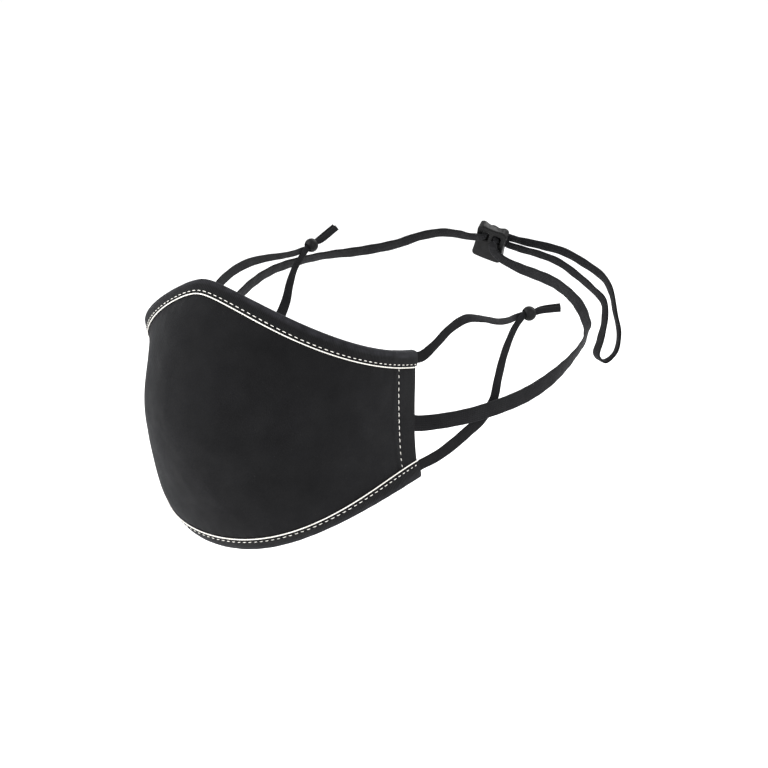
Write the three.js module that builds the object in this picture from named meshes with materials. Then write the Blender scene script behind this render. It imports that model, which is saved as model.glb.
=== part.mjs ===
// Reusable fabric half mask: a moulded cloth cup with bound edges, two elastics on each side drawn
// together by a bead, and one neck strap whose length is set by a slider.
// Millimetres. +X is the wearer's left, -Y is forward, away from the face, and +Z is up.
// The origin is the middle of the face opening, half-way up the cup's side edges.

import * as THREE from 'three';

// ---- driving dimensions ---------------------------------------------------------------------

const GAP = 0.3;                                   // between pieces that are sewn together
const CUP = { wall: 1.6, columns: 30, rows: 14 };
const HEM = { width: 15, extra: 1.0, ramp: 1.5 };  // cloth turned in along each side edge
const BINDING = { width: 8.0, skin: 0.8, legRows: 3, crestSteps: 4 };
const PIPING = { radius: 0.35, sides: 6 };
const EAR_ELASTIC = { thick: 1.0, stepsPerRow: 2 };
const NECK_STRAP = { thick: 1.2, stepsPerRow: 2 };
const BEAD = { radius: 3.8, bore: 2.3, arcSteps: 10, sides: 22 };
const SLIDER = {
  width: 16.8, height: 22.4, thick: 6.2, corner: 2.2, edge: 0.5,
  waist: { sides: 0.4, top: 1.6, bottom: -0.2 }, crown: 2.2,
  slotWidth: 4.0, slotHeight: 5.4, slotRound: 1.6, slotAcross: 3.4, slotUp: 5.2,
  place: [-3.9, 177.3, 68.2], lean: 35, roll: 25, turn: 9,
};

const COLOUR = { cloth: 0x16161a, binding: 0x111113, thread: 0xe9e6de, elastic: 0x1a1a1c, rubber: 0x141415 };

// ---- small tables ---------------------------------------------------------------------------

/** Rows of numbers become objects with the named columns. */
function table(columns, rows) {
  const names = columns.split(' ');
  return rows.map((row) => Object.fromEntries(names.map((name, i) => [name, row[i]])));
}

// The cup in five hoops, from its top edge (at 0) to its chin edge (at 1). middle and side are the
// hoop's heights at its middle and its ends, reach is how far forward its middle lies, half is half
// its width, square fills out its corners, back is where its ends lie, peak raises its middle to a
// point, sweep carries the middle's height further round, and nose pushes its middle forward, or
// flattens it where it is below nought.
const HOOPS = table('at middle side reach half square back peak sweep nose', [
  [0.00, 70.0, 32.5, 79.0, 69.5, 0.12, -2.3, 0.73, 0.09, 0],
  [0.25, 48.0, 24.5, 84.0, 68.0, 0.05, -0.4, 0.50, 0.00, 8],
  [0.50, 2.0, 2.0, 84.5, 66.0, 0.15, 1.8, 0.20, -0.18, 11],
  [0.75, -48.4, -18.5, 68.6, 66.5, 0.18, 2.2, 0.00, 0.33, 1.5],
  [1.00, -64.2, -31.0, 60.7, 68.5, 0.01, 3.3, 0.00, 0.42, -3.7],
]);
const PEAK_ROUNDING = 0.09;
const NOSE_SHARPNESS = 8;

// A band's rows say where its middle line lies, its width there, and which way its outer face looks.
const BAND = 'x y z width lookX lookY lookZ';
// A sewn end lies inside the cup: angle is the degrees round the cup from its middle, down is the
// distance below the top edge (or above the chin edge), and deep is the distance from the cup's face.
const SEWN = 'angle down deep width';

const EAR_LEFT_UPPER = {
  sewn: table(SEWN, [[82, 9.6, 4.5, 5.4], [86, 7.0, 4.5, 5.4], [90, 4.8, 4.5, 5.4]]),
  free: table(BAND, [
    [66.6, 6.1, 28.4, 5.6, 1, -0.4, 0.1],
    [69.7, 13.0, 33.2, 4.8, 1, -0.4, 0.1],
    [73.0, 22.1, 40.8, 4.6, 1, -0.3, 0.1],
    [75.3, 33.0, 45.0, 4.6, 1, -0.2, 0.4],
    [76.8, 45.3, 43.9, 3.8, 1, 0.0, 0.6],
    [77.2, 59.5, 41.2, 3.6, 1, -0.1, 0.5],
    [76.3, 70.3, 40.7, 3.4, 1, -0.3, 0.3],
    [75.3, 79.4, 41.5, 3.3, 0.81, -0.55, 0.21],
    [77.0, 83.0, 42.4, 3.2, 0.81, -0.55, 0.21],
    [78.7, 85.6, 42.8, 3.2, 0.81, -0.55, 0.21],
    [80.3, 88.2, 43.3, 3.2, 0.81, -0.55, 0.21],
    [82.4, 91.7, 44.8, 3.2, 0.81, -0.55, 0.21],
    [88.3, 100.6, 45.9, 3.2, 0.81, -0.55, 0.21],
  ]),
};
const EAR_LEFT_LOWER = {
  sewn: table(SEWN, [[82, 9.6, 4.5, 5.6], [86, 7.0, 4.6, 5.6], [90, 4.8, 4.8, 5.6]]),
  free: table(BAND, [
    [66.1, 9.3, -25.0, 5.7, 1, -0.5, -0.1],
    [70.2, 16.2, -21.6, 5.7, 1, -0.5, 0.0],
    [73.4, 25.0, -16.8, 5.7, 1, -0.4, 0.2],
    [75.6, 34.5, -11.6, 5.6, 1, -0.3, 0.3],
    [77.0, 45.5, -6.1, 5.4, 1, -0.3, 0.3],
    [77.9, 54.4, 2.2, 5.0, 1, -0.4, 0.3],
    [78.3, 58.0, 12.5, 4.6, 1, -0.5, 0.2],
    [77.9, 64.0, 23.9, 4.2, 1, -0.5, 0.1],
    [77.3, 72.0, 33.5, 3.6, 1, -0.5, 0.2],
    [77.0, 76.0, 37.0, 3.4, 0.9, -0.5, 0.2],
    [78.0, 79.5, 40.7, 3.3, 0.81, -0.55, 0.21],
    [78.6, 82.2, 42.8, 3.2, 0.81, -0.55, 0.21],
    [80.1, 84.6, 43.2, 3.2, 0.81, -0.55, 0.21],
    [81.8, 87.2, 43.6, 3.2, 0.81, -0.55, 0.21],
    [83.5, 89.9, 44.2, 3.2, 0.81, -0.55, 0.21],
    [89.5, 98.7, 44.8, 3.2, 0.81, -0.55, 0.21],
  ]),
};
const EAR_RIGHT_UPPER = {
  sewn: table(SEWN, [[-82, 9.6, 4.5, 5.4], [-86, 7.0, 4.5, 5.4], [-90, 4.8, 4.5, 5.4]]),
  free: table(BAND, [
    [-66.4, 5.5, 31.0, 5.4, -1, -0.2, 0.0],
    [-69.4, 12.0, 39.5, 5.3, -1, -0.2, -0.1],
    [-72.6, 21.0, 51.2, 5.0, -1, 0.0, -0.3],
    [-75.4, 36.7, 58.2, 4.8, -1, 0.0, -0.2],
    [-76.6, 53.1, 62.2, 4.8, -1, 0.0, -0.2],
    [-77.4, 70.0, 63.5, 4.2, -1, 0.0, 0.1],
    [-78.2, 86.9, 63.6, 3.6, -1, 0.0, 0.2],
    [-79.3, 99.0, 64.0, 3.4, -1, 0.2, 0],
    [-80.6, 107.6, 64.8, 3.3, -0.85, 0.45, -0.3],
    [-79.6, 110.2, 65.5, 3.2, -0.79, 0.48, -0.39],
    [-78.7, 112.8, 67.0, 3.2, -0.79, 0.48, -0.39],
    [-77.8, 115.4, 68.4, 3.2, -0.79, 0.48, -0.39],
    [-76.9, 117.9, 70.2, 3.2, -0.79, 0.48, -0.39],
    [-73.6, 127.6, 76.6, 3.2, -0.79, 0.48, -0.39],
  ]),
};
const EAR_RIGHT_LOWER = {
  sewn: table(SEWN, [[-82, 9.6, 4.5, 5.6], [-86, 7.0, 4.6, 5.6], [-90, 4.8, 4.8, 5.6]]),
  free: table(BAND, [
    [-66.2, 9.0, -24.8, 5.6, -1, -0.2, -0.1],
    [-70.2, 18.0, -20.4, 5.6, -1, -0.1, -0.2],
    [-73.6, 33.0, -12.6, 5.6, -1, 0.1, -0.2],
    [-75.6, 47.0, -4.4, 5.7, -1, 0.2, -0.3],
    [-76.8, 60.0, 5.4, 5.8, -1, 0.4, -0.4],
    [-77.6, 72.0, 17.4, 5.8, -1, 0.6, -0.5],
    [-77.9, 82.9, 30.2, 5.8, -1, 0.7, -0.5],
    [-78.0, 89.1, 38.8, 5.2, -1, 0.7, -0.4],
    [-77.8, 92.4, 48.1, 4.4, -1, 0.6, -0.3],
    [-78.4, 98.2, 56.5, 3.6, -1, 0.4, -0.3],
    [-78.0, 103.4, 61.7, 3.3, -0.9, 0.45, -0.35],
    [-78.1, 109.5, 66.3, 3.2, -0.79, 0.48, -0.39],
    [-77.3, 112.0, 67.6, 3.2, -0.79, 0.48, -0.39],
    [-76.4, 114.6, 69.1, 3.2, -0.79, 0.48, -0.39],
    [-75.2, 116.6, 69.6, 3.2, -0.79, 0.48, -0.39],
    [-71.5, 126.9, 76.2, 3.2, -0.79, 0.48, -0.39],
  ]),
};
const EAR_BEADS = {
  left: { place: [79.4, 85.1, 43.0], along: [0.53, 0.84, 0.15] },
  right: { place: [-78.0, 112.4, 67.3], along: [0.29, 0.84, 0.46] },
};

// The neck strap runs from the right side edge behind the head to the slider, out and back as a
// loose loop, through the slider again and forward to the left side edge. Its rows at the slider
// are in the slider's own axes: x across, y back and z up.
const NECK_RIGHT_SEWN = table(SEWN, [[-81.5, 37, 3.5, 8], [-85.8, 37, 3.5, 8], [-90, 37, 3.5, 8]]);
const NECK_RIGHT = table(BAND, [
  [-63.4, 6.5, -4.0, 8.0, -1, -0.3, 0.0],
  [-68.0, 13.0, 0.5, 8.0, -1, -0.4, 0.1],
  [-74.0, 23.0, 11.0, 8.0, -1, -0.3, 0.2],
  [-79.5, 35.0, 25.0, 8.0, -1, -0.2, 0.4],
  [-83.6, 50.0, 40.5, 8.0, -1, -0.1, 0.4],
  [-85.3, 66.0, 48.6, 7.8, -1, -0.1, 0.4],
  [-85.1, 85.2, 55.1, 7.2, -1, 0.0, 0.6],
  [-82.4, 103.5, 58.5, 7.0, -1, 0.1, 0.8],
  [-76.0, 124.0, 61.1, 7.0, -0.9, 0.3, 1.0],
  [-66.2, 141.8, 62.5, 7.0, -1, 0.6, 0.9],
  [-52.9, 156.2, 65.8, 7.0, -0.9, 0.8, 1.0],
  [-41.6, 163.9, 70.3, 6.4, -0.6, 0.8, 0.9],
  [-30.0, 168.4, 72.6, 5.8, -0.3, 1, 0.8],
  [-19.1, 169.3, 72.1, 5.4, 0.0, 1, 0.6],
]);
const NECK_SLIDER_IN = table(BAND, [
  [-11.0, -4.3, 2.4, 5.0, 0, 1, 0],
  [-7.7, -4.3, 3.8, 4.8, 0, 1, 0],
  [-5.2, -4.3, 4.9, 4.5, -0.35, 1, 0],
  [-3.5, -2.6, 5.3, 4.2, -1, 0.3, 0],
  [-3.4, 0.0, 5.4, 4.2, -1, 0, 0],
  [-3.3, 3.2, 5.2, 4.2, -1, 0.3, 0],
  [-1.8, 5.7, 4.6, 4.4, -0.4, 1, 0],
  [2.0, 6.4, 3.3, 4.6, 0, 1, 0],
  [7.0, 6.4, 1.9, 4.8, 0, 1, 0],
  [11.0, 6.5, 2.1, 4.9, 0, 1, 0],
]);
const NECK_LOOP = table(BAND, [
  [9.4, 189.0, 68.3, 5.0, -0.3, 1, 0.7],
  [19.7, 193.0, 66.1, 5.2, -0.2, 1, 0.5],
  [30.4, 197.4, 63.1, 5.4, -0.1, 1, 0.5],
  [40.9, 201.0, 57.5, 5.6, 0.1, 1, 0.4],
  [53.2, 203.2, 49.2, 5.8, 0.3, 1, 0.4],
  [57.5, 203.6, 41.9, 5.8, 0.6, 1, 0.2],
  [60.4, 203.0, 31.3, 5.8, 0.8, 1, 0.1],
  [63.0, 203.0, 19.3, 5.8, 0.8, 1, 0.0],
  [61.2, 202.0, 9.1, 5.8, 0.8, 0.9, -0.6],
  [56.9, 198.0, 4.5, 5.8, 0, 0.2, -1],
  [54.4, 194.0, 8.1, 5.8, -0.5, -1, -0.4],
  [57.1, 193.0, 16.3, 5.8, -0.4, -1, 0.1],
  [59.8, 193.0, 27.7, 5.8, -0.5, -1, 0.1],
  [59.1, 193.1, 37.7, 5.8, -0.4, -1, -0.2],
  [52.3, 192.4, 44.4, 5.8, -0.3, -1, -0.5],
  [42.9, 191.8, 51.2, 5.6, -0.1, -1, -0.5],
  [32.2, 190.2, 57.9, 5.4, 0.0, -1, -0.6],
  [20.8, 188.2, 61.8, 5.2, 0.1, -1, -0.7],
  [11.8, 186.8, 63.8, 5.0, 0, -1, -0.7],
]);
const NECK_SLIDER_OUT = table(BAND, [
  [11.8, 4.4, -1.6, 4.8, 0, -1, 0],
  [8.6, 4.4, -1.6, 4.6, 0, -1, 0],
  [5.8, 4.6, 0.9, 4.4, 0.2, -1, 0],
  [4.5, 4.2, 3.5, 4.2, 0.6, -0.8, 0],
  [3.7, 2.2, 5.0, 4.0, 1, -0.2, 0],
  [3.5, 0.0, 5.2, 4.0, 1, 0, -0.2],
  [3.1, -3.0, 5.4, 4.0, 0.6, 0.5, 0.7],
  [2.7, -4.8, 3.3, 4.4, 0.1, 1, 0.2],
  [3.1, -4.6, 0.4, 5.0, 0, 1, 0],
  [5.4, -4.5, -2.6, 5.6, 0, 1, 0],
  [9.2, -4.6, -4.6, 5.8, 0, 1, 0],
]);
const NECK_LEFT = table(BAND, [
  [6.7, 180.8, 56.4, 5.8, 0.2, 1, 0.3],
  [15.3, 179.4, 54.0, 6.2, 0.2, 1, 0.2],
  [27.4, 176.6, 51.6, 6.6, 0.3, 1, 0.2],
  [40.2, 172.5, 48.8, 7.0, 0.4, 1, 0.2],
  [53.5, 166.6, 43.9, 7.2, 0.5, 1, 0.1],
  [64.4, 160.2, 37.9, 7.4, 0.5, 0.84, -0.22],
  [74.2, 150.6, 31.0, 7.4, 0.61, 0.71, -0.34],
  [78.5, 144.0, 28.1, 7.4, 0.65, 0.58, -0.48],
  [80.6, 139.5, 26.2, 7.4, 0.9, 0.4, -0.17],
  [85.8, 124.1, 21.6, 7.4, 0.9, 0.32, -0.28],
  [87.8, 108.4, 15.3, 7.6, 1, 0.2, -0.2],
  [87.9, 90.9, 8.9, 7.8, 1, 0, 0],
  [86.4, 71.9, 3.5, 7.8, 1, -0.1, 0.1],
  [83.0, 50.9, -0.4, 7.9, 1, -0.2, 0],
  [77.5, 30.4, -3.2, 8.0, 1, -0.3, -0.1],
  [70.4, 16.0, -4.6, 8.0, 1, -0.5, -0.1],
  [64.4, 7.5, -5.0, 8.0, 1, -0.4, 0],
]);
const NECK_LEFT_SEWN = table(SEWN, [[90, 37, 3.5, 8], [85.8, 37, 3.5, 8], [81.5, 37, 3.5, 8]]);

// ---- the cup's surface ----------------------------------------------------------------------

const radians = THREE.MathUtils.degToRad;

/** One hoop of the cup at height fraction v, blended smoothly between the table's rows. */
function hoopAt(v) {
  const spans = HOOPS.length - 1;
  const span = THREE.MathUtils.clamp(Math.floor(v * spans), 0, spans - 1);
  const s = v * spans - span;
  const hoop = {};
  for (const name of Object.keys(HOOPS[0])) {
    const b = HOOPS[span][name];
    const c = HOOPS[span + 1][name];
    const a = span > 0 ? HOOPS[span - 1][name] : 2 * b - c;
    const d = span < spans - 1 ? HOOPS[span + 2][name] : 2 * c - b;
    hoop[name] = b + 0.5 * s * (c - a + s * (2 * a - 5 * b + 4 * c - d + s * (3 * (b - c) + d - a)));
  }
  return hoop;
}

/** A point of the cup's outer face. phi runs from -90 to 90 degrees round the front, in radians. */
function cup(phi, v) {
  const hoop = hoopAt(v);
  const sin = Math.sin(phi);
  const cos = Math.cos(phi);
  const point = (Math.hypot(sin, PEAK_ROUNDING) - PEAK_ROUNDING)
    / (Math.hypot(1, PEAK_ROUNDING) - PEAK_ROUNDING);
  const rise = 1 - (1 - hoop.peak) * sin * sin - hoop.peak * point + hoop.sweep * (cos - cos * cos);
  return new THREE.Vector3(
    hoop.half * sin * (1 + hoop.square * cos * cos),
    hoop.back - (hoop.back + hoop.reach) * cos * (1 + hoop.square * sin * sin)
      - hoop.nose * Math.max(cos, 0) ** NOSE_SHARPNESS,
    hoop.side + (hoop.middle - hoop.side) * rise,
  );
}

/** The cup's outward normal. */
function cupNormal(phi, v) {
  const step = 1e-4;
  const round = cup(phi + step, v).sub(cup(phi - step, v));
  const down = cup(phi, v + step).sub(cup(phi, v - step));
  return down.cross(round).normalize();
}

/** The line from top edge to chin edge at one angle, measured along its length. */
function meridian(phi) {
  const steps = 80;
  const lengths = [0];
  for (let i = 1; i <= steps; i += 1) {
    lengths.push(lengths[i - 1] + cup(phi, i / steps).distanceTo(cup(phi, (i - 1) / steps)));
  }
  const whole = lengths[steps];
  const fraction = (distance) => {
    let i = 1;
    while (i < steps && lengths[i] < distance) i += 1;
    return (i - 1 + (distance - lengths[i - 1]) / (lengths[i] - lengths[i - 1])) / steps;
  };
  /** The point this far down from the top edge and this far out from the cup's outer face. */
  const place = (distance, out) => {
    const v = fraction(distance);
    return cup(phi, v).addScaledVector(cupNormal(phi, v), out);
  };
  return { phi, whole, place, normal: (distance) => cupNormal(phi, fraction(distance)) };
}

/** Angles round the cup, finer where the side hems end. */
function cupAngles() {
  const sideReach = HOOPS[2].reach + HOOPS[2].back;
  const hemAngle = HEM.width / sideReach;
  const rampAngle = HEM.ramp / sideReach;
  const quarter = Math.PI / 2;
  const inner = quarter - hemAngle - rampAngle;
  const middle = Array.from({ length: CUP.columns + 1 }, (_, i) => inner * (2 * i / CUP.columns - 1));
  const side = [inner + rampAngle, quarter - hemAngle / 2, quarter];
  return [...side.map((angle) => -angle).reverse(), ...middle, ...side];
}

/** The cloth's thickness at an angle: the wall, plus the turned-in hem near the side edges. */
function thicknessAt(phi) {
  const sideReach = HOOPS[2].reach + HOOPS[2].back;
  const fromEdge = (Math.PI / 2 - Math.abs(phi)) * sideReach;
  const hemmed = 1 - THREE.MathUtils.clamp((fromEdge - HEM.width) / HEM.ramp, 0, 1);
  return CUP.wall + HEM.extra * hemmed;
}

// ---- closed solids --------------------------------------------------------------------------

/** Volume enclosed by a triangle list. */
function volume(points, triangles) {
  return triangles.reduce((sum, [a, b, c]) => (
    sum + points[a].dot(points[b].clone().cross(points[c])) / 6), 0);
}

/** A mesh from points and triangles, with its faces turned outward. */
function solid(name, points, triangles, material) {
  const outward = volume(points, triangles) > 0;
  const geometry = new THREE.BufferGeometry().setFromPoints(points);
  geometry.setIndex(triangles.flatMap(([a, b, c]) => (outward ? [a, b, c] : [a, c, b])));
  geometry.computeVertexNormals();
  const mesh = new THREE.Mesh(geometry, material);
  mesh.name = name;
  return mesh;
}

/**
 * Joins equal closed rings into one body. The two halves of a ring face each other, its first point
 * across from its last, and strips between them close the body's two ends.
 */
function loft(name, rings, material) {
  const count = rings[0].length;
  const triangles = [];
  for (let k = 0; k + 1 < rings.length; k += 1) {
    for (let i = 0; i < count; i += 1) {
      const a = k * count + i;
      const b = k * count + (i + 1) % count;
      triangles.push([a, b, b + count], [a, b + count, a + count]);
    }
  }
  const last = (rings.length - 1) * count;
  for (let i = 0; i + 1 < count / 2; i += 1) {
    const across = count - 1 - i;
    triangles.push([i, across, across - 1], [i, across - 1, i + 1]);
    triangles.push([last + i, last + across - 1, last + across], [last + i, last + i + 1, last + across - 1]);
  }
  return solid(name, rings.flat(), triangles, material);
}

// ---- pieces of the cup ----------------------------------------------------------------------

/** Half the thickness of a bound edge: the cloth's half, the gap and the binding's skin. */
function crestRadius(phi) {
  return thicknessAt(phi) / 2 + GAP + BINDING.skin;
}

/** The moulded face cloth, hollow behind, with its side edges turned in. */
function facePanel(material) {
  const profile = (line) => {
    const rim = crestRadius(line.phi);
    const outer = [];
    for (let i = 0; i <= CUP.rows; i += 1) {
      outer.push([rim + (line.whole - 2 * rim) * i / CUP.rows, 0]);
    }
    return [...outer, ...outer.map(([down]) => [down, -thicknessAt(line.phi)]).reverse()];
  };
  return sweepRoundCup('face_panel', profile, false, material);
}

/** Sweeps a profile of [distance from the edge, distance out] pairs round the whole cup. */
function sweepRoundCup(name, profile, fromChin, material) {
  const lines = cupAngles().map(meridian);
  const rings = lines.map((line) => profile(line).map(([down, out]) => (
    line.place(fromChin ? line.whole - down : down, out))));
  return loft(name, rings, material);
}

/** A strip folded over an edge: an outer leg, a round crest and an inner leg. */
function bindingProfile(line) {
  const cloth = thicknessAt(line.phi);
  const crest = crestRadius(line.phi);
  const side = (radius, steps) => {
    const points = [];
    for (let i = 0; i < BINDING.legRows; i += 1) {
      points.push([BINDING.width + (crest - BINDING.width) * i / BINDING.legRows, radius - cloth / 2]);
    }
    for (let i = 0; i <= steps; i += 1) {
      const angle = Math.PI * i / steps;
      points.push([crest - radius * Math.sin(angle), radius * Math.cos(angle) - cloth / 2]);
    }
    for (let i = BINDING.legRows - 1; i >= 0; i -= 1) {
      points.push([BINDING.width + (crest - BINDING.width) * i / BINDING.legRows, -radius - cloth / 2]);
    }
    return points;
  };
  const outside = side(crest, BINDING.crestSteps);
  const inside = side(crest - BINDING.skin, BINDING.crestSteps);
  return [...outside, ...inside.reverse()];
}

/** A thin cord laid in the seam between a binding's outer leg and the face cloth. */
function pipingProfile() {
  const points = [];
  for (let i = 0; i < PIPING.sides; i += 1) {
    const angle = 2 * Math.PI * i / PIPING.sides;
    points.push([
      BINDING.width + GAP + PIPING.radius * (1 + Math.cos(angle)),
      GAP + PIPING.radius * (1 + Math.sin(angle)),
    ]);
  }
  return points;
}

// ---- bands ----------------------------------------------------------------------------------

/** A table's rows as places and looks, in the part's axes or turned by a matrix. */
function freeRows(rows, matrix = new THREE.Matrix4()) {
  return rows.map((row) => ({
    place: new THREE.Vector3(row.x, row.y, row.z).applyMatrix4(matrix),
    look: new THREE.Vector3(row.lookX, row.lookY, row.lookZ).transformDirection(matrix),
    width: row.width,
  }));
}

/** A sewn end's rows, laid against the inside of the cup. */
function sewnRows(rows, fromChin = false) {
  return rows.map((row) => {
    const line = meridian(radians(row.angle));
    const down = fromChin ? line.whole - row.down : row.down;
    return { place: line.place(down, -row.deep), look: line.normal(down), width: row.width };
  });
}

/** A flat band with soft edges along its rows. */
function band(name, rows, { thick, stepsPerRow }, material) {
  const spans = rows.length - 1;
  const route = new THREE.CatmullRomCurve3(rows.map((row) => row.place), false, 'centripetal');
  const looks = new THREE.CatmullRomCurve3(rows.map((row) => row.look), false, 'catmullrom');
  const widths = new THREE.CatmullRomCurve3(
    rows.map((row) => new THREE.Vector3(row.width, 0, 0)), false, 'catmullrom');
  const section = (half) => [
    [half, 0], [half - thick / 2, thick / 2], [thick / 2 - half, thick / 2],
    [-half, 0], [thick / 2 - half, -thick / 2], [half - thick / 2, -thick / 2],
  ];
  const rings = [];
  for (let i = 0; i <= spans * stepsPerRow; i += 1) {
    const t = i / (spans * stepsPerRow);
    const along = route.getTangent(t);
    const look = looks.getPoint(t);
    look.addScaledVector(along, -look.dot(along)).normalize();
    const across = along.clone().cross(look);
    const middle = route.getPoint(t);
    rings.push(section(widths.getPoint(t).x / 2).map(([w, n]) => (
      middle.clone().addScaledVector(across, w).addScaledVector(look, n))));
  }
  return loft(name, rings, material);
}

// ---- hardware -------------------------------------------------------------------------------

/** A round bead bored through for two elastics. */
function bead(name, { place, along }, material) {
  const { radius, bore, arcSteps, sides } = BEAD;
  const end = Math.acos(bore / radius);
  const profile = [];
  for (let i = 0; i <= arcSteps; i += 1) {
    const angle = end * (2 * i / arcSteps - 1);
    profile.push(new THREE.Vector2(radius * Math.cos(angle), radius * Math.sin(angle)));
  }
  profile.push(profile[0].clone());
  const mesh = new THREE.Mesh(new THREE.LatheGeometry(profile, sides), material);
  mesh.name = name;
  mesh.position.set(...place);
  const axis = new THREE.Vector3(...along).normalize();
  mesh.quaternion.setFromUnitVectors(new THREE.Vector3(0, 1, 0), axis);
  return mesh;
}

/** Where the slider sits: x across, y back and z up in its own axes. */
function sliderMatrix() {
  const turn = new THREE.Euler(radians(SLIDER.lean), radians(SLIDER.roll), radians(SLIDER.turn), 'ZXY');
  return new THREE.Matrix4().makeRotationFromEuler(turn).setPosition(...SLIDER.place);
}

/** A soft waisted plate with two slots side by side. */
function strapSlider(material) {
  const { width, height, thick, waist, corner, edge } = SLIDER;
  const w = width / 2 - edge;
  const h = height / 2 - edge;
  const shape = new THREE.Shape();
  shape.moveTo(-w + corner, -h);
  shape.quadraticCurveTo(0, -h + 2 * waist.bottom, w - corner, -h);
  shape.quadraticCurveTo(w, -h, w, -h + corner);
  shape.quadraticCurveTo(w - 2 * waist.sides, 0, w, h - corner);
  shape.quadraticCurveTo(w, h, w - corner, h);
  shape.quadraticCurveTo(0, h - 2 * waist.top, -w + corner, h);
  shape.quadraticCurveTo(-w, h, -w, h - corner);
  shape.quadraticCurveTo(-w + 2 * waist.sides, 0, -w, -h + corner);
  shape.quadraticCurveTo(-w, -h, -w + corner, -h);
  for (const side of [-1, 1]) shape.holes.push(slot(side * SLIDER.slotAcross));
  const geometry = new THREE.ExtrudeGeometry(shape, {
    depth: thick - 2 * edge, steps: 1, curveSegments: 5,
    bevelEnabled: true, bevelSegments: 1, bevelSize: edge, bevelThickness: edge,
  });
  geometry.translate(0, 0, edge - thick / 2);
  geometry.rotateX(Math.PI / 2);
  raiseFrontTop(geometry, w, h);
  const mesh = new THREE.Mesh(geometry, material);
  mesh.name = 'strap_slider';
  mesh.applyMatrix4(sliderMatrix());
  return mesh;
}

/** Lifts the front of the slider's top edge in a low crown, while its back edge keeps its dip. */
function raiseFrontTop(geometry, w, h) {
  const points = geometry.attributes.position;
  for (let i = 0; i < points.count; i += 1) {
    const atTop = points.getZ(i) > h - SLIDER.corner;
    if (points.getY(i) < 0 && atTop) {
      const lift = SLIDER.crown * Math.max(1 - (points.getX(i) / w) ** 2, 0);
      points.setZ(i, points.getZ(i) + lift);
    }
  }
}

/** One slot's outline: a box with round corners. */
function slot(across) {
  const { slotWidth, slotHeight, slotRound, slotUp, edge } = SLIDER;
  const w = slotWidth / 2 + edge;
  const h = slotHeight / 2 + edge;
  const r = slotRound;
  const path = new THREE.Path();
  path.moveTo(across - w + r, slotUp - h);
  path.lineTo(across + w - r, slotUp - h);
  path.quadraticCurveTo(across + w, slotUp - h, across + w, slotUp - h + r);
  path.lineTo(across + w, slotUp + h - r);
  path.quadraticCurveTo(across + w, slotUp + h, across + w - r, slotUp + h);
  path.lineTo(across - w + r, slotUp + h);
  path.quadraticCurveTo(across - w, slotUp + h, across - w, slotUp + h - r);
  path.lineTo(across - w, slotUp - h + r);
  path.quadraticCurveTo(across - w, slotUp - h, across - w + r, slotUp - h);
  return path;
}

// ---- the assembly ---------------------------------------------------------------------------

const finish = (color, roughness) => new THREE.MeshStandardMaterial({ color, roughness, metalness: 0 });

const group = new THREE.Group();
group.add(facePanel(finish(COLOUR.cloth, 0.9)));
for (const [edge, fromChin] of [['top', false], ['bottom', true]]) {
  group.add(sweepRoundCup(`${edge}_binding`, bindingProfile, fromChin, finish(COLOUR.binding, 0.85)));
  group.add(sweepRoundCup(`${edge}_seam_piping`, pipingProfile, fromChin, finish(COLOUR.thread, 0.8)));
}

const EARS = {
  ear_band_left_upper: [EAR_LEFT_UPPER, false],
  ear_band_left_lower: [EAR_LEFT_LOWER, true],
  ear_band_right_upper: [EAR_RIGHT_UPPER, false],
  ear_band_right_lower: [EAR_RIGHT_LOWER, true],
};
for (const [name, [{ sewn, free }, fromChin]] of Object.entries(EARS)) {
  const rows = [...sewnRows(sewn, fromChin), ...freeRows(free)];
  group.add(band(name, rows, EAR_ELASTIC, finish(COLOUR.elastic, 0.9)));
}
for (const [side, seat] of Object.entries(EAR_BEADS)) {
  group.add(bead(`ear_bead_${side}`, seat, finish(COLOUR.rubber, 0.5)));
}

const sliderAxes = sliderMatrix();
group.add(band('neck_strap', [
  ...sewnRows(NECK_RIGHT_SEWN),
  ...freeRows(NECK_RIGHT),
  ...freeRows(NECK_SLIDER_IN, sliderAxes),
  ...freeRows(NECK_LOOP),
  ...freeRows(NECK_SLIDER_OUT, sliderAxes),
  ...freeRows(NECK_LEFT),
  ...sewnRows(NECK_LEFT_SEWN),
], NECK_STRAP, finish(COLOUR.elastic, 0.9)));
group.add(strapSlider(finish(COLOUR.rubber, 0.5)));

export default group;
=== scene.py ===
"""Looks of a reusable black fabric half mask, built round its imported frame.

The frame is in metres: +X is the wearer's left, -Y is forward, +Z is up, and the origin is the
middle of the face opening. Sizes of cloth, tape, thread and elastic are named here in millimetres.
"""

import math

import bpy
import numpy as np
from mathutils import Matrix, Vector


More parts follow.
